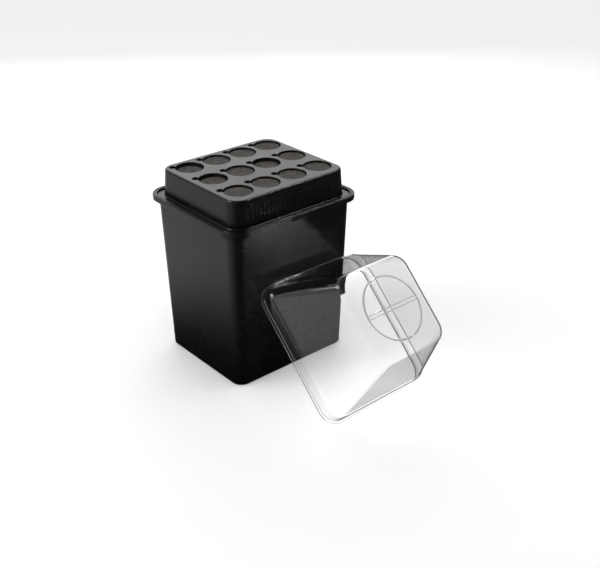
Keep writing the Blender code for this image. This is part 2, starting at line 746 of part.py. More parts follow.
def nozzle_profile():
    stem, flange = NOZZLE_STEM / 2, NOZZLE_FLANGE / 2
    wall = (PIPE_OUTSIDE - PIPE_INSIDE) / 2
    seat = TOUCH_GAP
    return [
        (stem, -wall * 0.9),
        (stem, seat),
        (flange, seat),
        (flange, NOZZLE_RISE * 0.4),
        (flange * 0.7, NOZZLE_RISE * 0.5),
        (flange * 0.5, NOZZLE_RISE),
        (stem * 0.3, NOZZLE_RISE),
        (stem * 0.3, NOZZLE_RISE * 0.7),
    ]


def make_arms(pipe_finish, cap_finish, nozzle_finish):
    """Each arm is a drilled pipe with its cap and its spray nozzles."""
    start = CROSS_REACH - PIPE_SOCKET + TOUCH_GAP
    top = PIPE_OUTSIDE / 2
    cap_outside, cap_inside = PIPE_SOCKET_OUTSIDE / 2, PIPE_OUTSIDE / 2 + PIPE_CLEARANCE
    for name, matrix, end, places in arm_directions():
        pipe = make_object(f"arm_{name}", tube(PIPE_OUTSIDE, PIPE_INSIDE, start, end, PIPE_FACETS), pipe_finish)
        pipe.matrix_world = matrix
        closed_end = end + TOUCH_GAP
        cap_profile = [
            (cap_inside, closed_end),
            (cap_inside, end - PIPE_SOCKET),
            (cap_outside, end - PIPE_SOCKET),
            (cap_outside, closed_end + CAP_WALL),
        ]
        cap = make_object(f"end_cap_{name}", turned(cap_profile, PIPE_FACETS), cap_finish)
        cap.matrix_world = matrix
        holes = []
        for number, place in enumerate(places, start=1):
            spot = matrix @ Vector((0, 0, place))
            drill = rod(NOZZLE_STEM + 2 * TOUCH_GAP, PIPE_INSIDE / 4, PIPE_OUTSIDE, SMALL_FACETS)
            holes.append((drill, matrix.inverted() @ move(spot.x, spot.y, spot.z)))
            nozzle = make_object(
                f"nozzle_{name}_{number}", turned(nozzle_profile(), SMALL_FACETS), nozzle_finish
            )
            nozzle.location = (spot.x, spot.y, spot.z + top)
        modify(pipe, "DIFFERENCE", f"{name}_drill", merged(holes))


def main():
    clear_scene()
    bucket = material("black_bucket", (0.012, 0.011, 0.010), 0.35)
    lid = material("black_lid", (0.02, 0.02, 0.019), 0.4)
    foam = material("dark_foam", (0.045, 0.04, 0.036), 0.95)
    clear = material("clear_dome", (0.95, 0.96, 0.97), 0.05, alpha=0.3)
    pump = material("pump_plastic", (0.02, 0.02, 0.022), 0.5)
    rubber = material("black_rubber", (0.02, 0.02, 0.02), 0.8)
    pipe = material("white_pipe", (0.85, 0.85, 0.84), 0.4)
    magnet = material("dark_magnet", (0.06, 0.06, 0.065), 0.45)
    ceramic = material("ceramic_shaft", (0.8, 0.8, 0.78), 0.25)
    nozzle = material("red_nozzle", (0.55, 0.05, 0.04), 0.4)
    make_reservoir(bucket)
    tray = make_site_tray(lid)
    make_inserts(foam, tray)
    make_dome(clear)
    make_pump_body(pump)
    make_volute_cover(pump)
    make_strainer(pump)
    make_rotor(magnet, pump, ceramic, rubber)
    make_suction_cups(rubber)
    make_gland(rubber)
    make_cross(pipe)
    make_riser(pipe)
    make_arms(pipe, pipe, nozzle)


main()
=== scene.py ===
import json
import math

import bmesh
import bpy
from mathutils import Matrix, Vector


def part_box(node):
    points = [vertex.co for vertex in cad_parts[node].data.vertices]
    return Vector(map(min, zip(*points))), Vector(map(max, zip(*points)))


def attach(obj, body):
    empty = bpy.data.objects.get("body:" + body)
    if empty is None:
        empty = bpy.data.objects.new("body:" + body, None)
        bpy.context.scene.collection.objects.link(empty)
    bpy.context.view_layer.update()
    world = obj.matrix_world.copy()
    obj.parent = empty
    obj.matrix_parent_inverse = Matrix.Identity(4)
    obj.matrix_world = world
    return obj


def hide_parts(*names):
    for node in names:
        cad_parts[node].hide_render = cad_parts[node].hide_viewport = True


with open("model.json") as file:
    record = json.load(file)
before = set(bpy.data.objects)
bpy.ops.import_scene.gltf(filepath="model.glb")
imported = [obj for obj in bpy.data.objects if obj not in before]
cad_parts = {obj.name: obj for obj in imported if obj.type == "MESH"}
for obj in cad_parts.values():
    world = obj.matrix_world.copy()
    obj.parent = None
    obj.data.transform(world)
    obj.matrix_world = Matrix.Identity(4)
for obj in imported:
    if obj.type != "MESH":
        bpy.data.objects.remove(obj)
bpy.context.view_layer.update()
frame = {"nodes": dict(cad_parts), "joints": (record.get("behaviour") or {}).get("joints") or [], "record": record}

# gaps between pieces that touch, and around the lid's skirt
fits = {"touch": 0.0003, "skirt": 0.0006}
# as shares of a bend's setback: where its support loops lie, and the room it needs on a wall
rounding = {"support": 1.15, "room": 1.2}


def roundedOutline(halfX, halfY, radius, z, steps=12, support=0.0012):
    # a rectangle with round corners, and a support point on each side of every arc
    points = []
    for turn, (sideX, sideY) in enumerate([(1, 1), (-1, 1), (-1, -1), (1, -1)]):
        centre = Vector((sideX * (halfX - radius), sideY * (halfY - radius), z))
        start = math.pi / 2 * turn
        along = Vector((math.sin(start), -math.cos(start), 0)) * support
        leaving = Vector((-math.cos(start), -math.sin(start), 0)) * support
        first = centre + Vector((math.cos(start), math.sin(start), 0)) * radius
        points.append(first + along)
        for step in range(steps + 1):
            angle = start + math.pi / 2 * step / steps
            points.append(centre + Vector((math.cos(angle), math.sin(angle), 0)) * radius)
        points.append(points[-1] + leaving)
    return points


def reachTowards(stations, index, other):
    # how far a bend runs along its wall: its setback, or its share of a short wall
    here, there = [Vector(stations[spot][:4]) for spot in (index, other)]
    step = there - here
    length = math.hypot(max(abs(step[0]), abs(step[1])), step[3])
    both = rounding["room"] * (stations[index][4] + stations[other][4])
    return step * (stations[index][4] / max(length, both))


def softened(stations, steps=5):
    # each station is (halfX, halfY, corner, z, setback): a setback rounds that bend
    result = []
    for index, station in enumerate(stations):
        here = Vector(station[:4])
        if not station[4] or index in (0, len(stations) - 1):
            result.append(here)
            continue
        back = reachTowards(stations, index, index - 1)
        ahead = reachTowards(stations, index, index + 1)
        result.append(here + back * rounding["support"])
        for step in range(steps + 1):
            t = step / steps
            result.append(here + back * (1 - t) ** 2 + ahead * t ** 2)
        result.append(here + ahead * rounding["support"])
    return result


def bridge(bm, lower, upper):
    count = len(lower)
    for index in range(count):
        following = (index + 1) % count
        bm.faces.new((lower[index], lower[following], upper[following], upper[index]))


def addRing(bm, outline):
    return [bm.verts.new(point) for point in outline]


def ringEdges(bm, ring):
    edges = []
    for index, vertex in enumerate(ring):
        following = ring[(index + 1) % len(ring)]
        edges.append(bm.edges.get((vertex, following)) or bm.edges.new((vertex, following)))
    return edges


def loft(bm, outlines):
    rings = [addRing(bm, outline) for outline in outlines]
    for lower, upper in zip(rings, rings[1:]):
        bridge(bm, lower, upper)
    return rings


def finishMesh(name, bm, material, sharp=50):
    bmesh.ops.remove_doubles(bm, verts=bm.verts, dist=0.000001)
    bmesh.ops.recalc_face_normals(bm, faces=bm.faces)
    mesh = bpy.data.meshes.new(name)
    bm.to_mesh(mesh)
    bm.free()
    mesh.shade_smooth()
    mesh.set_sharp_from_angle(angle=math.radians(sharp))
    if material:
        mesh.materials.append(material)
    piece = bpy.data.objects.new(name, mesh)
    bpy.context.scene.collection.objects.link(piece)
    return piece


def applyTree(piece, tree, **values):
    # sets each named input by its socket's identifier, then keeps only the resulting mesh
    modifier = piece.modifiers.new("shape", "NODES")
    modifier.node_group = tree
    for item in tree.interface.items_tree:
        key = item.name.replace(" ", "_")
        if item.item_type == "SOCKET" and item.in_out == "INPUT" and key in values:
            modifier[item.identifier] = values[key]
    bpy.context.view_layer.update()
    graph = bpy.context.evaluated_depsgraph_get()
    mesh = bpy.data.meshes.new_from_object(piece.evaluated_get(graph))
    mesh.name = piece.name
    piece.modifiers.remove(modifier)
    piece.data = mesh
    return piece


def place(piece, body, slot, *nodes):
    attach(piece, body)
    if nodes:
        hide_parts(*nodes)
    return piece


def newMaterial(name):
    material = bpy.data.materials.new(name)
    material.use_nodes = True
    nodes = material.node_tree.nodes
    return material, nodes, material.node_tree.links, nodes["Principled BSDF"]


def objectNoise(nodes, links, scale, detail=3.0, roughness=0.5, stretch=(1, 1, 1)):
    place3d = nodes.new("ShaderNodeTexCoord")
    mapping = nodes.new("ShaderNodeMapping")
    mapping.inputs["Scale"].default_value = stretch
    noise = nodes.new("ShaderNodeTexNoise")
    noise.inputs["Scale"].default_value = scale
    noise.inputs["Detail"].default_value = detail
    noise.inputs["Roughness"].default_value = roughness
    links.new(place3d.outputs["Object"], mapping.inputs["Vector"])
    links.new(mapping.outputs["Vector"], noise.inputs["Vector"])
    return noise.outputs["Fac"]


def ramp(nodes, links, source, low, high, dark, light):
    node = nodes.new("ShaderNodeValToRGB")
    node.color_ramp.elements[0].position = low
    node.color_ramp.elements[1].position = high
    node.color_ramp.elements[0].color = (*dark, 1)
    node.color_ramp.elements[1].color = (*light, 1)
    links.new(source, node.inputs["Fac"])
    return node.outputs["Color"]


def spread(nodes, links, source, low, high):
    node = nodes.new("ShaderNodeMapRange")
    node.inputs["From Min"].default_value = 0.3
    node.inputs["From Max"].default_value = 0.7
    node.inputs["To Min"].default_value = low
    node.inputs["To Max"].default_value = high
    links.new(source, node.inputs["Value"])
    return node.outputs["Result"]


def bumped(nodes, links, shader, layers):
    normal = None
    for source, strength, distance in layers:
        bump = nodes.new("ShaderNodeBump")
        bump.inputs["Strength"].default_value = strength
        bump.inputs["Distance"].default_value = distance
        links.new(source, bump.inputs["Height"])
        if normal:
            links.new(normal, bump.inputs["Normal"])
        normal = bump.outputs["Normal"]
    links.new(normal, shader.inputs["Normal"])


def mouldedPlastic(name, dark, light, roughness, specular, grain=0.25, wave=0.25):
    material, nodes, links, shader = newMaterial(name)
    cloud = objectNoise(nodes, links, 14, 5, 0.6)
    fine = objectNoise(nodes, links, 420, 2, 0.5)
    slow = objectNoise(nodes, links, 9, 1, 0.4, (1, 1, 0.45))
    links.new(ramp(nodes, links, cloud, 0.3, 0.72, dark, light), shader.inputs["Base Color"])
    links.new(spread(nodes, links, cloud, *roughness), shader.inputs["Roughness"])
    shader.inputs["Specular IOR Level"].default_value = specular
    bumped(nodes, links, shader, [(fine, grain, 0.00004), (slow, wave, 0.0008)])
    return material


def foamRubber(name, dark, light):
    material, nodes, links, shader = newMaterial(name)
    cells = objectNoise(nodes, links, 900, 4, 0.65)
    patches = objectNoise(nodes, links, 120, 3, 0.6)
    mix = nodes.new("ShaderNodeMath")
    mix.operation = "MULTIPLY_ADD"
    mix.inputs[1].default_value = 0.45
    links.new(patches, mix.inputs[0])
    half = nodes.new("ShaderNodeMath")
    half.operation = "MULTIPLY"
    half.inputs[1].default_value = 0.55
    links.new(cells, half.inputs[0])
    links.new(half.outputs[0], mix.inputs[2])
    colour = ramp(nodes, links, mix.outputs[0], 0.36, 0.64, dark, light)
    links.new(colour, shader.inputs["Base Color"])
    shader.inputs["Roughness"].default_value = 0.92
    shader.inputs["Specular IOR Level"].default_value = 0.3
    bumped(nodes, links, shader, [(cells, 0.7, 0.0004)])
    return material


def groundMetal(name, dark, light):
    material, nodes, links, shader = newMaterial(name)
    grain = objectNoise(nodes, links, 300, 3, 0.5, (0.05, 1, 1))
    links.new(ramp(nodes, links, grain, 0.35, 0.65, dark, light), shader.inputs["Base Color"])
    links.new(spread(nodes, links, grain, 0.22, 0.34), shader.inputs["Roughness"])
    shader.inputs["Metallic"].default_value = 1.0
    return material


def clearSheet(name):
    material, nodes, links, shader = newMaterial(name)
    ripple = objectNoise(nodes, links, 16, 2, 0.4)
    # painted shade: the sheet is tinted darker where makeDome marks the ring, its bars and the flange
    thickShade = nodes.new("ShaderNodeAttribute")
    thickShade.attribute_name = "thickness"
    tint = ramp(nodes, links, thickShade.outputs["Fac"], 0.0, 1.0, (1, 1, 1), (0.5, 0.51, 0.55))
    links.new(tint, shader.inputs["Base Color"])
    shader.inputs["Transmission Weight"].default_value = 1.0
    shader.inputs["IOR"].default_value = 1.49
    shader.inputs["Roughness"].default_value = 0.0
    bumped(nodes, links, shader, [(ripple, 0.15, 0.0016)])
    return material


# sizes are in metres here and below
bucket = {
    "wall": 0.003,
    "floor": 0.0035,
    "cornerRadius": 0.021,
    "rimCorner": 0.034,
    "ringWidth": 0.008,
    "ledgeDrop": 0.0055,
    "lipHeight": 0.010,
    "lipWall": 0.0025,
    "baseWidth": 0.251,
    "baseDepth": 0.2155,
    "mouthWidth": 0.264,
    "mouthDepth": 0.230,
    "grooveInner": 0.0054,
    "grooveOuter": 0.0028,
    "grooveDepth": 0.0008,
    "grooveSlope": 0.0006,
    "beadDrop": 0.007,
    "beadDepth": 0.0006,
    "beadHalfHeight": 0.0016,
    "floorFlat": 0.012,
    "floorCorner": 0.008,
    "baseFlat": 0.010,
    "wallMiddle": 0.15,
    # how far each bend is rounded
    "floorBend": 0.006,
    "ledgeBend": 0.0006,
    "ringBend": 0.0008,
    "grooveBend": 0.0004,
    "lipBend": 0.0016,
    "lipEdge": 0.0011,
    "neckBend": 0.0012,
    "beadBend": 0.0005,
    "baseBend": 0.00352,
}
bucketBox = [Vector(corner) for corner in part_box("reservoir")]
rimHalfX = (bucketBox[1].x - bucketBox[0].x) / 2
rimHalfY = (bucketBox[1].y - bucketBox[0].y) / 2
rimTop = bucketBox[1].z


def bucketHalf(z):
    share = z / (rimTop - bucket["lipHeight"])
    halfX = (bucket["baseWidth"] + (bucket["mouthWidth"] - bucket["baseWidth"]) * share) / 2
    halfY = (bucket["baseDepth"] + (bucket["mouthDepth"] - bucket["baseDepth"]) * share) / 2
    return halfX, halfY


def makeBucket(material):
    wall, corner = bucket["wall"], bucket["cornerRadius"]
    ledge = rimTop - bucket["ledgeDrop"]
    web = ledge - wall

    def side(z, inset=0.0, setback=0.0):
        halfX, halfY = bucketHalf(z)
        return halfX - inset, halfY - inset, corner - inset, z, setback

    def rim(inset, z, setback=0.0):
        return rimHalfX - inset, rimHalfY - inset, bucket["rimCorner"] - inset, z, setback

    neckX, neckY = bucketHalf(web)
    step = bucket["ringWidth"] - wall
    bead = web - bucket["beadDrop"]
    beadHalf = bucket["beadHalfHeight"]
    floorInset = wall + bucket["floorFlat"]
    floorCorner = corner - floorInset + bucket["floorCorner"]
    grooveInner, grooveOuter = bucket["grooveInner"], bucket["grooveOuter"]
    grooveSlope, grooveBend = bucket["grooveSlope"], bucket["grooveBend"]
    grooveFloor = rimTop - bucket["grooveDepth"]
    lipLow = rimTop - bucket["lipHeight"]
    lipUnder = rimTop - bucket["lipWall"]
    # from the middle of the floor up the inside, over the rim and down the outside
    stations = [
        (*side(bucket["floor"], floorInset)[:2], floorCorner, bucket["floor"], 0),
        side(bucket["floor"], wall, bucket["floorBend"]),
        (neckX - wall, neckY - wall, corner - wall, ledge, bucket["ledgeBend"]),
        rim(bucket["ringWidth"], ledge, bucket["ledgeBend"]),
        rim(bucket["ringWidth"], rimTop, bucket["ringBend"]),
        rim(grooveInner, rimTop, grooveBend),
        rim(grooveInner - grooveSlope, grooveFloor, grooveBend),
        rim(grooveOuter + grooveSlope, grooveFloor, grooveBend),
        rim(grooveOuter, rimTop, grooveBend),
        rim(0, rimTop, bucket["lipBend"]),
        rim(0, lipLow, bucket["lipEdge"]),
        rim(bucket["lipWall"], lipLow, bucket["lipEdge"]),
        rim(bucket["lipWall"], lipUnder, bucket["ringBend"]),
        rim(step, lipUnder, bucket["ringBend"]),
        rim(step, web, bucket["ringBend"]),
        (neckX, neckY, corner, web, bucket["neckBend"]),
        side(bead + beadHalf, 0, bucket["beadBend"]),
        side(bead, bucket["beadDepth"], bucket["beadBend"]),
        side(bead - beadHalf, 0, bucket["beadBend"]),
        side(bucket["wallMiddle"]),
        side(0.0, 0, bucket["baseBend"]),
        (*side(0.0, bucket["baseFlat"])[:2], corner - bucket["baseFlat"], 0.0, 0),
    ]
    bm = bmesh.new()
    outlines = [roundedOutline(*station, steps=14) for station in softened(stations)]
    rings = loft(bm, outlines)
    bm.faces.new(rings[0])
    bm.faces.new(rings[-1])
    return place(finishMesh("bucketShell", bm, material), "bucket", "bucket", "reservoir")


lid = {
    "deckWidth": 0.245,
    "deckDepth": 0.215,
    "deckCorner": 0.024,
    "draft": 0.0035,
    "deckEdge": 0.004,
    "plate": 0.003,
    "wall": 0.0025,
    "columns": 4,
    "rows": 3,
    "siteDiameter": 0.050,
    "socketDepth": 0.0265,
    "socketWall": 0.0025,
    "seatLedge": 0.005,
    "mouthRound": 0.0011,
    "notchRadius": 0.006,
    "notchReach": 0.030,
    "notchAngle": 139,
    "notchDepth": 0.010,
    "notchNeck": 0.0038,
    "notchFloorBend": 0.0008,
    "notchFloorInset": 0.0006,
    "notchStep": 0.001,
    "mouthMargin": 1.4,
    "topMargin": 0.0005,
    "underMargin": 0.0013,
    # how far each bend is rounded
    "footBend": 0.0016,
    "flangeBend": 0.0007,
    "flangeEdge": 0.0005,
    "skirtBend": 0.0008,
    "insideBend": 0.001,
}
lidBox = [Vector(corner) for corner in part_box("site_tray")]
deckTop = lidBox[1].z


def siteCentre(row, column):
    low, high = [Vector(corner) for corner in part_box(f"insert_r{row}c{column}")]
    return (low + high) / 2, high.z


def allSites():
    rows, columns = range(1, lid["rows"] + 1), range(1, lid["columns"] + 1)
    return [(row, column) for row in rows for column in columns]


def keyhole(centre, z, grow, pocket=True, arcSteps=60, endSteps=16):
    # a circle joined by a neck to a small round notch
    # without the notch, the same number of points lies on the circle
    big = lid["siteDiameter"] / 2 + grow
    small = lid["notchRadius"] + grow
    neck = lid["notchNeck"] + grow
    turn = math.radians(lid["notchAngle"])
    reach = lid["notchReach"]
    half = math.asin(neck / big)
    points = []
    for step in range(arcSteps + 1):
        angle = half + (2 * math.pi - 2 * half) * step / arcSteps
        points.append((big * math.cos(angle), big * math.sin(angle)))
    if pocket:
        lean = math.asin(min(1.0, neck / small))
        start = math.pi + lean
        for step in range(endSteps + 1):
            angle = start + (2 * math.pi - 2 * lean) * step / endSteps
            points.append((reach + small * math.cos(angle), small * math.sin(angle)))
    else:
        for step in range(endSteps + 1):
            angle = -half + 2 * half * (step + 1) / (endSteps + 2)
            points.append((big * math.cos(angle), big * math.sin(angle)))
    spin = Matrix.Rotation(turn, 3, "Z")
    return [spin @ Vector((x, y, 0)) + Vector((centre.x, centre.y, z)) for x, y in points]


def siteOutlines(centre):
    # from the deck down through the socket and back up its outside to the deck's underside
    mouth = lid["mouthRound"]
    seat = deckTop - lid["socketDepth"]
    under = seat - lid["socketWall"]
    pocket = deckTop - lid["notchDepth"]
    outside = lid["socketWall"]
    mouthSteps = 4
    outlines = [keyhole(centre, deckTop, mouth * share) for share in (lid["mouthMargin"], 1)]
    for step in range(1, mouthSteps + 1):
        angle = math.pi / 2 * step / mouthSteps
        grow = mouth * (1 - math.sin(angle))
        outlines.append(keyhole(centre, deckTop - mouth * (1 - math.cos(angle)), grow))
    levels = [
        # height, growth, with the notch
        (pocket + lid["notchFloorBend"], 0, True),
        (pocket, -lid["notchFloorInset"], True),
        (pocket, 0, False),
        (pocket - lid["notchStep"], 0, False),
        (seat, 0, False),
        (seat, -lid["seatLedge"], False),
        (under, -lid["seatLedge"], False),
        (under, outside, False),
        (pocket - outside, outside, False),
        (pocket - outside, outside, True),
        (deckTop - lid["plate"], outside, True),
    ]
    return outlines + [keyhole(centre, *level) for level in levels]


def makeLid(material):
    wall = lid["wall"]
    halfX, halfY, corner = lid["deckWidth"] / 2, lid["deckDepth"] / 2, lid["deckCorner"]
    flangeX = (lidBox[1].x - lidBox[0].x) / 2
    flangeY = (lidBox[1].y - lidBox[0].y) / 2
    flangeCorner = bucket["rimCorner"] - (rimHalfX - flangeX)
    ledge = rimTop - bucket["ledgeDrop"] + fits["touch"]
    flangeTop = ledge + wall
    skirtLow = lidBox[0].z
    inset = bucket["wall"] + fits["skirt"]
    skirtX, skirtY = [half - inset for half in bucketHalf(skirtLow)]
    skirtCorner = bucket["cornerRadius"] - inset
    footX, footY, footCorner = halfX + lid["draft"], halfY + lid["draft"], corner + lid["draft"]
    under = deckTop - lid["plate"]
    fill = lid["deckEdge"] + lid["topMargin"]
    underFill = wall + lid["underMargin"]
    flangeEdge, skirtBend, insideBend = lid["flangeEdge"], lid["skirtBend"], lid["insideBend"]
    stations = [
        (halfX - fill, halfY - fill, corner - fill, deckTop, 0),
        (halfX, halfY, corner, deckTop, lid["deckEdge"]),
        (footX, footY, footCorner, flangeTop, lid["footBend"]),
        (flangeX, flangeY, flangeCorner, flangeTop, lid["flangeBend"]),
        (flangeX, flangeY, flangeCorner, ledge, flangeEdge),
        (skirtX, skirtY, skirtCorner, ledge, flangeEdge),
        (skirtX, skirtY, skirtCorner, skirtLow, skirtBend),
        (skirtX - wall, skirtY - wall, skirtCorner - wall, skirtLow, skirtBend),
        (skirtX - wall, skirtY - wall, skirtCorner - wall, ledge - wall, insideBend),
        (footX - wall, footY - wall, corner, flangeTop, insideBend),
        (halfX - wall, halfY - wall, corner - wall, under, insideBend),
        (halfX - underFill, halfY - underFill, corner - underFill, under, 0),
    ]
    bm = bmesh.new()
    rings = loft(bm, [roundedOutline(*station) for station in softened(stations, 6)])
    topEdges, underEdges = ringEdges(bm, rings[0]), ringEdges(bm, rings[-1])
    for row, column in allSites():
        centre, _ = siteCentre(row, column)
        siteRings = loft(bm, siteOutlines(centre))
        topEdges += ringEdges(bm, siteRings[0])
        underEdges += ringEdges(bm, siteRings[-1])
    for edges in (topEdges, underEdges):
        bmesh.ops.triangle_fill(bm, use_beauty=True, use_dissolve=False, edges=edges)
    return place(finishMesh("lidShell", bm, material, 40), "lid", "lid", "site_tray")


# ribs on the lid's front wall and tabs on its flange
mouldings = {
    "ribCount": 21,
    "ribPitch": 0.0086,
    "ribSize": (0.0034, 0.0024, 0.022),
    "ribRelief": 0.0011,
    "ribMiddle": (-0.004, 0.326),
    "tabSize": (0.0022, 0.008, 0.0028),
    "tabRelief": 0.0014,
    "tabReach": 0.058,
    "tabInset": 0.0004,
    "edge": 0.0005,
}


def repeatedRow():
    # Geometry Nodes tree that repeats one shape along a straight row
    tree = bpy.data.node_groups.new("repeatedRow", "GeometryNodeTree")
    face = tree.interface
    face.new_socket("Geometry", in_out="INPUT", socket_type="NodeSocketGeometry")
    kinds = {"Count": "Int", "Start": "Vector", "Step": "Vector", "Finish": "Material"}
    for name, kind in kinds.items():
        face.new_socket(name, in_out="INPUT", socket_type=f"NodeSocket{kind}")
    face.new_socket("Geometry", in_out="OUTPUT", socket_type="NodeSocketGeometry")
    nodes, links = tree.nodes, tree.links
    start, end = nodes.new("NodeGroupInput"), nodes.new("NodeGroupOutput")
    line = nodes.new("GeometryNodeMeshLine")
    repeat = nodes.new("GeometryNodeInstanceOnPoints")
    solid = nodes.new("GeometryNodeRealizeInstances")
    paint = nodes.new("GeometryNodeSetMaterial")
    links.new(start.outputs["Count"], line.inputs["Count"])
    links.new(start.outputs["Start"], line.inputs["Start Location"])
    links.new(start.outputs["Step"], line.inputs["Offset"])
    links.new(line.outputs["Mesh"], repeat.inputs["Points"])
    links.new(start.outputs["Geometry"], repeat.inputs["Instance"])
    links.new(repeat.outputs["Instances"], solid.inputs["Geometry"])
    links.new(solid.outputs["Geometry"], paint.inputs["Geometry"])
    links.new(start.outputs["Finish"], paint.inputs["Material"])
    links.new(paint.outputs["Geometry"], end.inputs[0])
    return tree


def roundedBar(name, size, edge, turn, material):
    bm = bmesh.new()
    bmesh.ops.create_cube(bm, size=1.0)
    bmesh.ops.scale(bm, vec=size, verts=bm.verts)
    bmesh.ops.bevel(bm, geom=bm.edges[:], offset=edge, segments=3, affect="EDGES", profile=0.5)
    bm.transform(turn)
    return finishMesh(name, bm, material, 60)


def makeMouldings(material):
    tree = repeatedRow()
    rise = deckTop - (rimTop - bucket["ledgeDrop"] + lid["wall"])
    slope = math.atan(lid["draft"] / rise)
    middleX, middleZ = mouldings["ribMiddle"]
    wallY = -(lid["deckDepth"] / 2 + lid["draft"] * (deckTop - middleZ) / rise)
    size = mouldings["ribSize"]
    edge = mouldings["edge"]
    ribs = roundedBar("lidRibs", size, edge, Matrix.Rotation(-slope, 4, "X"), material)
    pitch, count = mouldings["ribPitch"], mouldings["ribCount"]
    firstY = wallY - mouldings["ribRelief"] + size[1] / 2
    first = (middleX - pitch * (count - 1) / 2, firstY, middleZ)
    applyTree(ribs, tree, Count=count, Start=first, Step=(pitch, 0, 0), Finish=material)
    place(ribs, "lid", "lid")
    flangeX, flangeY = lidBox[1].x, lidBox[1].y
    top = rimTop - bucket["ledgeDrop"] + fits["touch"] + lid["wall"]
    width, length, height = mouldings["tabSize"]
    reach = mouldings["tabReach"]
    sides = [("Left", -1, 0), ("Right", 1, 0), ("Front", -1, 1), ("Back", 1, 1)]
    for name, sign, turned in sides:
        spin = Matrix.Rotation(math.pi / 2 * turned, 4, "Z")
        tabs = roundedBar(f"lidTabs{name}", (width, length, height), edge, spin, material)
        across = sign * ((flangeY if turned else flangeX) - width / 2 - mouldings["tabInset"])
        z = top + mouldings["tabRelief"] - height / 2
        first = (-reach, across, z) if turned else (across, -reach, z)
        step = (2 * reach, 0, 0) if turned else (0, 2 * reach, 0)
        applyTree(tabs, tree, Count=2, Start=first, Step=step, Finish=material)
        place(tabs, "lid", "lid")


collar = {
    "edge": 0.0009,
    "slit": 0.00025,
    "rings": 34,
    "spokes": 150,
    "pitDepth": 0.00055,
    "pitScale": 420.0,
    "seed": 7,
}


def pittedSurface():
    # Geometry Nodes tree that roughens a collar's upper faces
    tree = bpy.data.node_groups.new("pittedSurface", "GeometryNodeTree")
    face = tree.interface
    face.new_socket("Geometry", in_out="INPUT", socket_type="NodeSocketGeometry")
    kinds = {"Pit depth": "Float", "Pit scale": "Float", "Level": "Float", "Seed": "Int"}
    for name, kind in [*kinds.items(), ("Finish", "Material")]:
        face.new_socket(name, in_out="INPUT", socket_type=f"NodeSocket{kind}")
    face.new_socket("Geometry", in_out="OUTPUT", socket_type="NodeSocketGeometry")
    nodes, links = tree.nodes, tree.links
    start, end = nodes.new("NodeGroupInput"), nodes.new("NodeGroupOutput")
    noise = nodes.new("ShaderNodeTexNoise")
    noise.noise_dimensions = "4D"
    noise.inputs["Detail"].default_value = 3.0
    noise.inputs["Roughness"].default_value = 0.6
    position = nodes.new("GeometryNodeInputPosition")
    links.new(position.outputs["Position"], noise.inputs["Vector"])
    links.new(start.outputs["Seed"], noise.inputs["W"])
    links.new(start.outputs["Pit scale"], noise.inputs["Scale"])
    shape = nodes.new("ShaderNodeMapRange")
    shape.inputs["From Min"].default_value = 0.62
    shape.inputs["From Max"].default_value = 0.38
    links.new(noise.outputs["Fac"], shape.inputs["Value"])
    depth = nodes.new("ShaderNodeMath")
    depth.operation = "MULTIPLY"
    links.new(shape.outputs["Result"], depth.inputs[0])
    links.new(start.outputs["Pit depth"], depth.inputs[1])
    down = nodes.new("ShaderNodeMath")
    down.operation = "MULTIPLY"
    down.inputs[1].default_value = -1.0
    links.new(depth.outputs[0], down.inputs[0])
    offset = nodes.new("ShaderNodeCombineXYZ")
    links.new(down.outputs[0], offset.inputs["Z"])
    split = nodes.new("ShaderNodeSeparateXYZ")
    links.new(position.outputs["Position"], split.inputs[0])
    high = nodes.new("FunctionNodeCompare")
    high.data_type = "FLOAT"
    high.operation = "GREATER_THAN"
    links.new(split.outputs["Z"], high.inputs["A"])
    links.new(start.outputs["Level"], high.inputs["B"])
    move = nodes.new("GeometryNodeSetPosition")
    links.new(start.outputs["Geometry"], move.inputs["Geometry"])
    links.new(high.outputs["Result"], move.inputs["Selection"])
    links.new(offset.outputs[0], move.inputs["Offset"])
    solid = nodes.new("GeometryNodeRealizeInstances")
    paint = nodes.new("GeometryNodeSetMaterial")
    links.new(move.outputs[0], solid.inputs[0])
    links.new(solid.outputs[0], paint.inputs["Geometry"])
    links.new(start.outputs["Finish"], paint.inputs["Material"])
    links.new(paint.outputs[0], end.inputs[0])
    return tree


def collarMesh(name, low, high, material):
    radius = (high.x - low.x) / 2
    edge, slit = collar["edge"], collar["slit"]
    centre = (low + high) / 2
    rings, edgeSteps = collar["rings"], 4
    # radius and height down one side: upper face, rounded edge, wall and lower face
    profile = [(radius * (index + 0.6) / rings, high.z) for index in range(rings - 2)]
    for step in range(edgeSteps + 1):
        angle = math.pi / 2 * step / edgeSteps
        inward = edge * (1 - math.sin(angle))
        profile.append((radius - inward, high.z - edge * (1 - math.cos(angle))))
    for share in (0.25, 0.5, 0.75):
        profile.append((radius, high.z + (low.z - high.z) * share))
    profile += [(radius, low.z + edge), (radius - edge, low.z)]
    profile += [(radius * share, low.z) for share in (0.5, 0.02)]
    bm = bmesh.new()
    columns = []
    for spoke in range(collar["spokes"] + 1):
        angle = 2 * math.pi * spoke / collar["spokes"]
        side = slit if spoke == 0 else -slit if spoke == collar["spokes"] else 0.0
        column = []
        for reach, z in profile:
            x = centre.x + reach * math.cos(angle)
            y = centre.y + reach * math.sin(angle) + side
            column.append(bm.verts.new((x, y, z)))
        columns.append(column)
    for here, following in zip(columns, columns[1:]):
        for index in range(len(profile) - 1):
            bm.faces.new((here[index], here[index + 1], following[index + 1], following[index]))
    bm.faces.new([column[0] for column in columns])
    bm.faces.new([column[-1] for column in columns])
    for column in (columns[0], columns[-1]):
        bm.faces.new(column)
    return finishMesh(name, bm, material, 60)


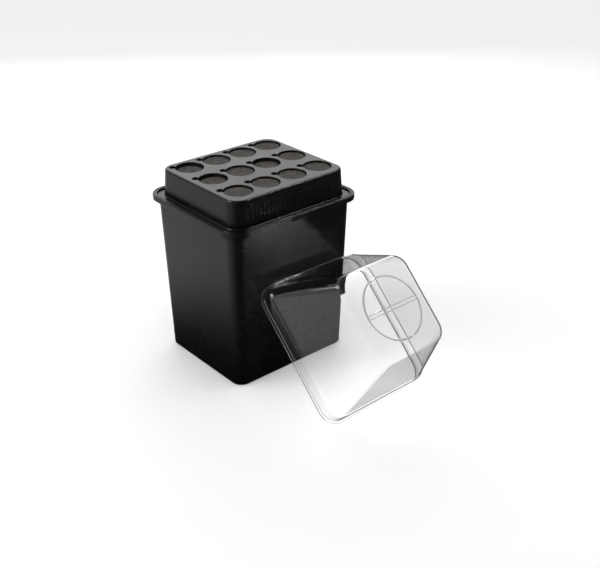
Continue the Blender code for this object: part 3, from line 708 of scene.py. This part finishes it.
def makeCollars(material):
    tree = pittedSurface()
    for row, column in allSites():
        node = f"insert_r{row}c{column}"
        low, high = [Vector(corner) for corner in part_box(node)]
        piece = collarMesh(f"foamCollar_r{row}c{column}", low, high, material)
        level = high.z - collar["edge"] * 1.5
        seed = collar["seed"] + 10 * row + column
        values = {"Pit_depth": collar["pitDepth"], "Pit_scale": collar["pitScale"]}
        applyTree(piece, tree, Level=level, Seed=seed, Finish=material, **values)
        place(piece, f"collar_r{row}c{column}", "foam", node)


dome = {
    "wall": 0.0012,
    "skirt": 0.024,
    "shoulder": 0.003,
    "flange": 0.0048,
    "flangeThickness": 0.0025,
    "height": 0.159,
    "topShort": 0.150,
    "topLong": 0.158,
    "topShift": 0.0075,
    "topCorner": 0.025,
    "topFlat": 0.011,
    "topEdge": 0.0077,
    "ringRadius": 0.055,
    "ringWidth": 0.003,
    "ringHeight": 0.001,
    "clearance": 0.0007,
    "barSpacing": 0.0065,
    "barWidth": 0.0011,
    "barHeight": 0.0008,
    "innerRelief": 0.35,
    "discRings": 72,
    "discSpokes": 216,
    "shoulderBend": 0.0017,
    "flangeBend": 0.0012,
    "flangeEdge": 0.0011,
    "mouthBend": 0.0008,
    # how much darker the sheet is coloured at the flange and the raised ring, from 0 to 1: partly its greater
    # thickness, mostly painted shade for the dark lines that refraction draws there
    "flangeShadeTint": 0.3,
    "ringShadeTint": 1.3,
}
domeJoint = next(joint for joint in frame["joints"] if joint["child"] == "dome")
domeFoot = Vector(domeJoint["pos_m"])
lap = lid["draft"] * dome["skirt"] / (deckTop - rimTop)
skirtGap = lap + dome["clearance"] + dome["wall"]
skirtShort, skirtLong = lid["deckDepth"] / 2 + skirtGap, lid["deckWidth"] / 2 + skirtGap
skirtCorner = lid["deckCorner"] + skirtGap


def domeLean():
    # the lean at which the dome's far edge touches the bucket's sloping front
    length = 2 * (skirtLong + dome["flange"])
    draft = (bucket["mouthDepth"] - bucket["baseDepth"]) / 2 / (rimTop - bucket["lipHeight"])
    reach = -domeFoot.y - bucket["baseDepth"] / 2 - fits["touch"]
    return math.atan(draft) + math.acos(reach / (length * math.hypot(1, draft)))


def domeStations(inset):
    height, skirt, shoulder = dome["height"] - inset, dome["skirt"] - inset, dome["shoulder"]
    short, long, corner = skirtShort - inset, skirtLong - inset, skirtCorner - inset
    topShort, topLong = dome["topShort"] / 2 - inset, dome["topLong"] / 2 - inset
    topCorner = dome["topCorner"] - inset
    flat, bend = dome["topFlat"], dome["shoulderBend"]
    return [
        (topShort - flat, topLong - flat, topCorner - flat, height, 0),
        (topShort, topLong, topCorner, height, dome["topEdge"]),
        (short - shoulder, long - shoulder, corner - shoulder, skirt + shoulder, bend),
        (short, long, corner, skirt, bend),
    ]


def medallionHeight(x, y):
    # height of the raised ring and its two cross bars at a place on the roof
    radius = math.hypot(x, y)
    ring = 1 - abs(radius - dome["ringRadius"]) / (dome["ringWidth"] / 2)
    height = dome["ringHeight"] * smooth(ring)
    if radius < dome["ringRadius"] - dome["ringWidth"]:
        for side in (-1, 1):
            bar = 1 - abs(y - side * dome["barSpacing"] / 2) / dome["barWidth"]
            height = max(height, dome["barHeight"] * smooth(bar))
    return height


def smooth(share):
    share = min(1.0, max(0.0, share * 1.4))
    return share * share * (3 - 2 * share)


def domeRoof(bm, boundary, level, centreY, relief):
    # a flat roof with the raised ring and its cross bars
    rings, count = dome["discRings"], dome["discSpokes"]
    outer = dome["ringRadius"] + 2 * dome["ringWidth"]
    previous = None
    for index in range(rings, 0, -1):
        radius = outer * index / rings
        outline = []
        for spoke in range(count):
            angle = 2 * math.pi * spoke / count
            x, y = radius * math.cos(angle), radius * math.sin(angle)
            outline.append(Vector((x, y + centreY, level + relief * medallionHeight(x, y))))
        ring = addRing(bm, outline)
        if previous:
            bridge(bm, previous, ring)
        else:
            edges = ringEdges(bm, boundary) + ringEdges(bm, ring)
            bmesh.ops.triangle_fill(bm, use_beauty=True, use_dissolve=False, edges=edges)
        previous = ring
    bm.faces.new(previous)


def makeDome(material):
    outer, inner = domeStations(0.0), domeStations(dome["wall"])
    flangeShort, flangeLong = skirtShort + dome["flange"], skirtLong + dome["flange"]
    flangeCorner = skirtCorner + dome["flange"]
    thickShade, edge = dome["flangeThickness"], dome["flangeEdge"]
    mouth = [value - dome["wall"] for value in (skirtShort, skirtLong, skirtCorner)]
    flange = [
        (skirtShort, skirtLong, skirtCorner, thickShade, dome["flangeBend"]),
        (flangeShort, flangeLong, flangeCorner, thickShade, edge),
        (flangeShort, flangeLong, flangeCorner, 0.0, edge),
        (*mouth, 0.0, dome["mouthBend"]),
    ]
    stations = outer + flange + inner[::-1]
    bm = bmesh.new()
    outlines = [roundedOutline(*station, steps=14) for station in softened(stations, 8)]
    shoulder = dome["skirt"] + dome["shoulder"]
    for outline in outlines:
        for point in outline:
            share = max(0.0, (point.z - shoulder) / (dome["height"] - shoulder))
            point.y += flangeLong - dome["topShift"] * share
    rings = loft(bm, outlines)
    middle = flangeLong - dome["topShift"]
    domeRoof(bm, rings[0], dome["height"], middle, 1.0)
    domeRoof(bm, rings[-1], dome["height"] - dome["wall"], middle, dome["innerRelief"])
    # painted shade: the ring, its bars and the flange get a darker tint, more than their thickness alone gives
    layer = bm.verts.layers.float.new("thickness")
    for vertex in bm.verts:
        x, y, z = vertex.co.x, vertex.co.y, vertex.co.z
        if z > dome["height"] - 2 * dome["wall"]:
            relief = medallionHeight(x, y - middle) / dome["ringHeight"]
            vertex[layer] = min(1.0, dome["ringShadeTint"] * relief)
        elif z <= thickShade and (abs(x) > skirtShort or abs(y - flangeLong) > skirtLong):
            vertex[layer] = dome["flangeShadeTint"]
    bm.transform(Matrix.Translation(domeFoot) @ Matrix.Rotation(domeLean(), 4, "X"))
    piece = finishMesh("clearDome", bm, material, 60)
    piece.visible_shadow = False
    return place(piece, "dome", "clear", "humidity_dome")


studio = {
    "skyLevel": 0.9,
    "floorWhite": 0.95,
    # painted reflection: the levels at which floor and sky show in mirror images, on their light side and on their
    # painted dark side
    "reflectedFloor": 0.8,
    "reflectedSky": 0.7,
    "paintedDarkSide": 0.08,
    # painted light added to mirror images seen through the clear sheet
    "paintedHaze": 0.16,
    "floorSize": 12,
    "floorDrop": 0.0002,
    # painted shadow: the floor's mirror image darkens from the second distance to the first, close to the object
    "paintedShadowReach": (0.15, 0.5),
    "paintedShadowFloor": 0.03,
    # painted shade: where the mirrored floor and sky go from dark towards the right and front to light towards the
    # left and back
    "floorSides": (-0.1, 0.9),
    "skySides": (-0.3, 0.8),
    "lightSide": (-0.7071, 0.7071, 0),
    "lights": [
        # name, place, aim, width, height, power
        ("keyPanel", (-1.7, 0.9, 1.5), (0, 0, 0.15), 1.2, 1.2, 14.0),
        ("backPanel", (1.0, 1.4, 1.12), (0, 0, 0.35), 1.9, 1.3, 13.0),
        ("leftGlint", (-1.3, 0.5, 2.0), (0, 0, 0.3), 0.2, 0.2, 16.0),
        ("rightGlint", (1.2, -0.55, 1.9), (0, 0, 0.3), 0.2, 0.2, 14.0),
    ],
    "cameraPlace": (-0.937, -1.209, 0.940),
    "cameraForward": (0.5765, 0.6667, -0.4724),
    "lens": 55.9,
    "sensor": 36,
}


def mapped(nodes, links, source, fromLow, fromHigh, toLow, toHigh):
    node = nodes.new("ShaderNodeMapRange")
    node.interpolation_type = "SMOOTHSTEP"
    values = {"From Min": fromLow, "From Max": fromHigh, "To Min": toLow, "To Max": toHigh}
    for key, value in values.items():
        node.inputs[key].default_value = value
    links.new(source, node.inputs["Value"])
    return node.outputs["Result"]


def sideOfPaintedShade(nodes, links, direction):
    # 1 towards the left and back, -1 towards the right and front, where mirror images are painted dark
    heading, side = nodes.new("ShaderNodeVectorMath"), nodes.new("ShaderNodeVectorMath")
    heading.operation, side.operation = "NORMALIZE", "DOT_PRODUCT"
    side.inputs[1].default_value = studio["lightSide"]
    links.new(direction, heading.inputs[0])
    links.new(heading.outputs["Vector"], side.inputs[0])
    return side.outputs["Value"]


def mirroredBefore(nodes, links, path):
    # 1 for what is seen in a reflection, also where the ray then passes through clear sheet
    test = nodes.new("ShaderNodeMath")
    test.operation = "GREATER_THAN"
    test.inputs[1].default_value = 0.5
    links.new(path.outputs["Glossy Depth"], test.inputs[0])
    return test.outputs[0]


def withPaintedHaze(nodes, links, path, level):
    # painted light: a dark mirror image seen through clear sheet is raised to at least a set level, standing in
    # for the white the sheet scatters into it
    scatter, brighter = nodes.new("ShaderNodeMath"), nodes.new("ShaderNodeMath")
    scatter.operation, brighter.operation = "MULTIPLY", "MAXIMUM"
    scatter.inputs[1].default_value = studio["paintedHaze"]
    links.new(path.outputs["Is Transmission Ray"], scatter.inputs[0])
    links.new(scatter.outputs[0], brighter.inputs[0])
    links.new(level, brighter.inputs[1])
    return brighter.outputs[0]


def floorMaterial():
    # white paper whose mirror image carries painted shade: dark close to the object and towards the right and
    # front
    material, nodes, links, shader = newMaterial("studioWhite")
    white = studio["floorWhite"]
    shader.inputs["Base Color"].default_value = (white, white, white, 1)
    shader.inputs["Roughness"].default_value = 0.9
    shader.inputs["Specular IOR Level"].default_value = 0.0
    place3d = nodes.new("ShaderNodeTexCoord")
    reach = nodes.new("ShaderNodeVectorMath")
    reach.operation = "LENGTH"
    links.new(place3d.outputs["Object"], reach.inputs[0])
    side = sideOfPaintedShade(nodes, links, place3d.outputs["Object"])
    level = nodes.new("ShaderNodeMath")
    level.operation = "MULTIPLY"
    near, far = studio["paintedShadowReach"]
    # painted shadow in the floor's mirror image, close to the object
    away = mapped(nodes, links, reach.outputs["Value"], near, far, studio["paintedShadowFloor"], 1.0)
    # painted shade: the floor's mirror image is dark towards the right and front
    low, high = studio["floorSides"]
    sideways = mapped(nodes, links, side, low, high, studio["paintedDarkSide"], studio["reflectedFloor"])
    links.new(away, level.inputs[0])
    links.new(sideways, level.inputs[1])
    kinds = ("Emission", "MixShader", "LightPath")
    glow, mix, path = [nodes.new(f"ShaderNode{kind}") for kind in kinds]
    links.new(withPaintedHaze(nodes, links, path, level.outputs[0]), glow.inputs["Strength"])
    links.new(mirroredBefore(nodes, links, path), mix.inputs[0])
    links.new(shader.outputs[0], mix.inputs[1])
    links.new(glow.outputs[0], mix.inputs[2])
    links.new(mix.outputs[0], nodes["Material Output"].inputs["Surface"])
    return material


def makeStage():
    bm = bmesh.new()
    bmesh.ops.create_grid(bm, x_segments=1, y_segments=1, size=studio["floorSize"])
    floor = finishMesh("studioFloor", bm, floorMaterial())
    floor.location.z = -studio["floorDrop"]
    world = bpy.data.worlds.new("studioSky")
    bpy.context.scene.world = world
    world.use_nodes = True
    nodes, links = world.node_tree.nodes, world.node_tree.links
    sky, backdrop = nodes["Background"], nodes.new("ShaderNodeBackground")
    backdrop.inputs["Color"].default_value = (1, 1, 1, 1)
    backdrop.inputs["Strength"].default_value = 1.0
    sky.inputs["Color"].default_value = (1, 1, 1, 1)
    sky.inputs["Strength"].default_value = studio["skyLevel"]
    # painted reflection: the sky seen in mirror images is dark towards the right and front, lighter towards the
    # left and back
    mirrored = nodes.new("ShaderNodeBackground")
    place3d = nodes.new("ShaderNodeTexCoord")
    side = sideOfPaintedShade(nodes, links, place3d.outputs["Generated"])
    path = nodes.new("ShaderNodeLightPath")
    low, high = studio["skySides"]
    level = mapped(nodes, links, side, low, high, studio["paintedDarkSide"], studio["reflectedSky"])
    links.new(withPaintedHaze(nodes, links, path, level), mirrored.inputs["Strength"])
    first, second = nodes.new("ShaderNodeMixShader"), nodes.new("ShaderNodeMixShader")
    seen = nodes.new("ShaderNodeMath")
    seen.operation = "MAXIMUM"
    links.new(path.outputs["Is Camera Ray"], seen.inputs[0])
    links.new(path.outputs["Is Transmission Ray"], seen.inputs[1])
    links.new(seen.outputs[0], first.inputs[0])
    links.new(sky.outputs[0], first.inputs[1])
    links.new(backdrop.outputs[0], first.inputs[2])
    links.new(mirroredBefore(nodes, links, path), second.inputs[0])
    links.new(first.outputs[0], second.inputs[1])
    links.new(mirrored.outputs[0], second.inputs[2])
    links.new(second.outputs[0], nodes["World Output"].inputs["Surface"])


def makeLights():
    for name, spot, aim, width, height, power in studio["lights"]:
        light = bpy.data.lights.new(name, "AREA")
        light.shape = "RECTANGLE"
        light.size, light.size_y = width, height
        light.energy = power
        lamp = bpy.data.objects.new(name, light)
        # glints show only as highlights
        lamp.visible_diffuse = not name.endswith("Glint")
        lamp.location = spot
        lamp.rotation_euler = (Vector(aim) - Vector(spot)).to_track_quat("-Z", "Y").to_euler()
        bpy.context.scene.collection.objects.link(lamp)


def makeCamera():
    camera = bpy.data.cameras.new("mainCamera")
    camera.lens = studio["lens"]
    camera.sensor_width = studio["sensor"]
    holder = bpy.data.objects.new("mainCamera", camera)
    holder.location = studio["cameraPlace"]
    holder.rotation_euler = Vector(studio["cameraForward"]).to_track_quat("-Z", "Y").to_euler()
    bpy.context.scene.collection.objects.link(holder)
    bpy.context.scene.camera = holder
    bpy.context.scene.view_settings.view_transform = "Standard"


# moulded plastic: name, darkest and lightest colour, roughness range, specular level
bucketPlastic = mouldedPlastic(
    "bucketPlastic", (0.0022, 0.0018, 0.0014), (0.0042, 0.0034, 0.0027), (0.2, 0.31), 0.31)
lidPlastic = mouldedPlastic(
    "lidPlastic", (0.0022, 0.002, 0.0016), (0.0044, 0.0038, 0.0033), (0.22, 0.34), 0.31)
collarFoam = foamRubber("collarFoam", (0.018, 0.016, 0.014), (0.095, 0.085, 0.076))
domeSheet = clearSheet("domeSheet")
finishes = {
    "pump_plastic": mouldedPlastic(
        "pumpPlastic", (0.012, 0.012, 0.013), (0.02, 0.02, 0.022), (0.4, 0.55), 0.45),
    "rubber": foamRubber("blackRubber", (0.012, 0.012, 0.012), (0.022, 0.021, 0.02)),
    "pipe": mouldedPlastic(
        "whitePipe", (0.7, 0.7, 0.68), (0.78, 0.78, 0.765), (0.32, 0.45), 0.5),
    "nozzle": mouldedPlastic(
        "nozzlePlastic", (0.42, 0.03, 0.022), (0.52, 0.045, 0.033), (0.35, 0.45), 0.5),
    "magnet": mouldedPlastic(
        "ferriteMagnet", (0.04, 0.04, 0.043), (0.07, 0.07, 0.075), (0.5, 0.65), 0.5),
    "shaft": groundMetal("groundPin", (0.58, 0.58, 0.565), (0.68, 0.68, 0.66)),
}
for part in frame["record"]["subparts"]:
    node = frame["nodes"][part["node"]]
    if part["material_slot"] in finishes:
        for index in range(len(node.data.materials)):
            node.data.materials[index] = finishes[part["material_slot"]]

print("bucket")
makeBucket(bucketPlastic)
print("lid")
makeLid(lidPlastic)
print("mouldings")
makeMouldings(lidPlastic)
print("collars")
makeCollars(collarFoam)
print("dome")
makeDome(domeSheet)
print("stage")
makeStage()
makeLights()
makeCamera()
